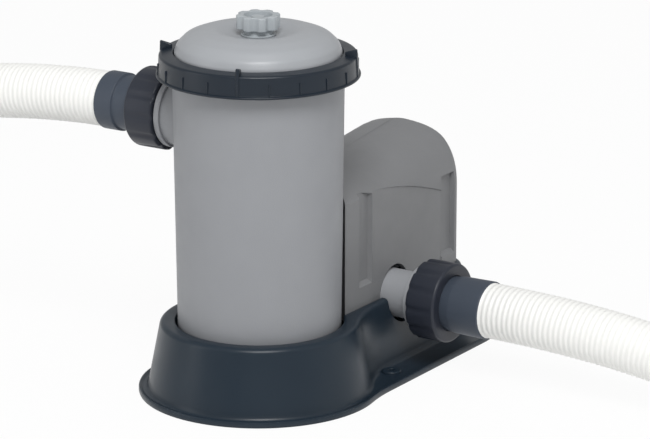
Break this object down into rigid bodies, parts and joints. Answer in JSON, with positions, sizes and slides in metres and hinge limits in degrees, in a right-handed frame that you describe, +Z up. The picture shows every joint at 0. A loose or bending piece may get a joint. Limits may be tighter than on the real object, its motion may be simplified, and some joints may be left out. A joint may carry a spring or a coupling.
{
  "type": "pool pump",
  "caption": "Filter pump for an above-ground pool: cartridge tank with a screwed lid, motor pump under a cover, one base, and two hoses with union nuts.",
  "frame": {"origin": "on the floor, in the middle of the base's length and half way between the outer faces of the two union nuts at the ports", "axes": "+X from the filter tank to the motor along the base, +Y out of the inlet port, +Z up"},
  "size_m": [0.7112, 1.0744, 0.3],
  "materials": {
    "base_plastic": "semi-gloss dark blue-grey moulding",
    "dark_plastic": "semi-gloss dark grey moulding",
    "nut_plastic": "semi-gloss dark grey moulding",
    "cuff_plastic": "satin slate grey",
    "tank_plastic": "satin mid grey, fine texture",
    "lid_plastic": "satin light grey",
    "cover_plastic": "satin mid grey",
    "knob_plastic": "satin light blue-grey",
    "hose_plastic": "smooth white",
    "seal_rubber": "soft black",
    "filter_paper": "pleated white media",
    "core_plastic": "moulded white",
    "cap_plastic": "cast blue",
    "frame_metal": "painted black",
    "core_steel": "laminated steel",
    "bright_steel": "bright",
    "copper_wire": "varnished copper",
    "capacitor_plastic": "moulded white"
  },
  "bodies": {
    "housing": {"base": "base_plastic", "cable_gland": "dark_plastic", "capacitor_bracket": "frame_metal", "casing_screws": "bright_steel", "casing_seal": "seal_rubber", "cover_screws": "bright_steel", "duct_seal": "seal_rubber", "filter_tank": "tank_plastic", "gland_nut": "dark_plastic", "inlet_cuff": "cuff_plastic", "inlet_end_cuff": "cuff_plastic", "inlet_hose": "hose_plastic", "inlet_washer": "seal_rubber", "lower_bearing": "bright_steel", "motor_cover": "cover_plastic", "motor_end_cap": "frame_metal", "motor_frame": "frame_metal", "outlet_cuff": "cuff_plastic", "outlet_end_cuff": "cuff_plastic", "outlet_hose": "hose_plastic", "outlet_washer": "seal_rubber", "pump_casing": "tank_plastic", "pump_screws": "bright_steel", "run_capacitor": "capacitor_plastic", "seal_plate": "dark_plastic", "shaft_seal": "seal_rubber", "stator_core": "core_steel", "stator_windings": "copper_wire", "suction_duct": "dark_plastic", "tank_screws": "bright_steel", "terminal_block": "capacitor_plastic", "upper_bearing": "bright_steel"},
    "lid": {"lid": "lid_plastic", "lid_seal": "seal_rubber"},
    "lock_ring": {"lock_ring": "dark_plastic"},
    "vent": {"vent_knob": "knob_plastic", "vent_screw": "knob_plastic", "vent_seal": "seal_rubber"},
    "cartridge": {"cartridge_pleats": "filter_paper", "cartridge_core": "core_plastic", "cartridge_top_cap": "cap_plastic", "cartridge_bottom_cap": "cap_plastic"},
    "rotor": {"rotor_shaft": "bright_steel", "rotor_core": "core_steel", "impeller": "dark_plastic", "cooling_fan": "dark_plastic"},
    "inlet_nut": {"inlet_nut": "nut_plastic"},
    "outlet_nut": {"outlet_nut": "nut_plastic"},
    "inlet_end_nut": {"inlet_end_nut": "nut_plastic"},
    "outlet_end_nut": {"outlet_end_nut": "nut_plastic"}
  },
  "joints": [
    {"name": "lid_lift", "type": "slide", "parent": "housing", "child": "lid", "axis": [0, 0, 1], "range_m": [0, 0.3]},
    {"name": "lock_ring_turn", "type": "hinge", "parent": "lid", "child": "lock_ring", "pos_m": [-0.07275, 0, 0.262], "axis": [0, 0, 1], "range_deg": [0, 450]},
    {"name": "vent_turn", "type": "hinge", "parent": "lid", "child": "vent", "pos_m": [-0.07275, 0, 0.29], "axis": [0, 0, 1], "range_deg": [0, 720]},
    {"name": "cartridge_lift", "type": "slide", "parent": "housing", "child": "cartridge", "axis": [0, 0, 1], "range_m": [0, 0.24]},
    {"name": "rotor_spin", "type": "hinge", "parent": "housing", "child": "rotor", "pos_m": [0.07325, 0, 0.1], "axis": [0, 0, 1], "continuous": true},
    {"name": "inlet_nut_turn", "type": "hinge", "parent": "housing", "child": "inlet_nut", "pos_m": [-0.07275, 0.0915, 0.2133], "axis": [0, 1, 0], "range_deg": [0, 1080]},
    {"name": "outlet_nut_turn", "type": "hinge", "parent": "housing", "child": "outlet_nut", "pos_m": [0.04325, -0.0915, 0.057], "axis": [0, -1, 0], "range_deg": [0, 1080]},
    {"name": "inlet_end_nut_spin", "type": "hinge", "parent": "housing", "child": "inlet_end_nut", "pos_m": [-0.51231, -0.10392, 0.03226], "axis": [0.0402, -0.9981, 0.0467], "continuous": true},
    {"name": "outlet_end_nut_spin", "type": "hinge", "parent": "housing", "child": "outlet_end_nut", "pos_m": [-0.40849, -0.06196, 0.0324], "axis": [0.2979, 0.9534, 0.0477], "continuous": true}
  ],
  "couplings": [
    {"joint": "cartridge_lift", "follows": "lid_lift", "ratio": 0.72}
  ]
}
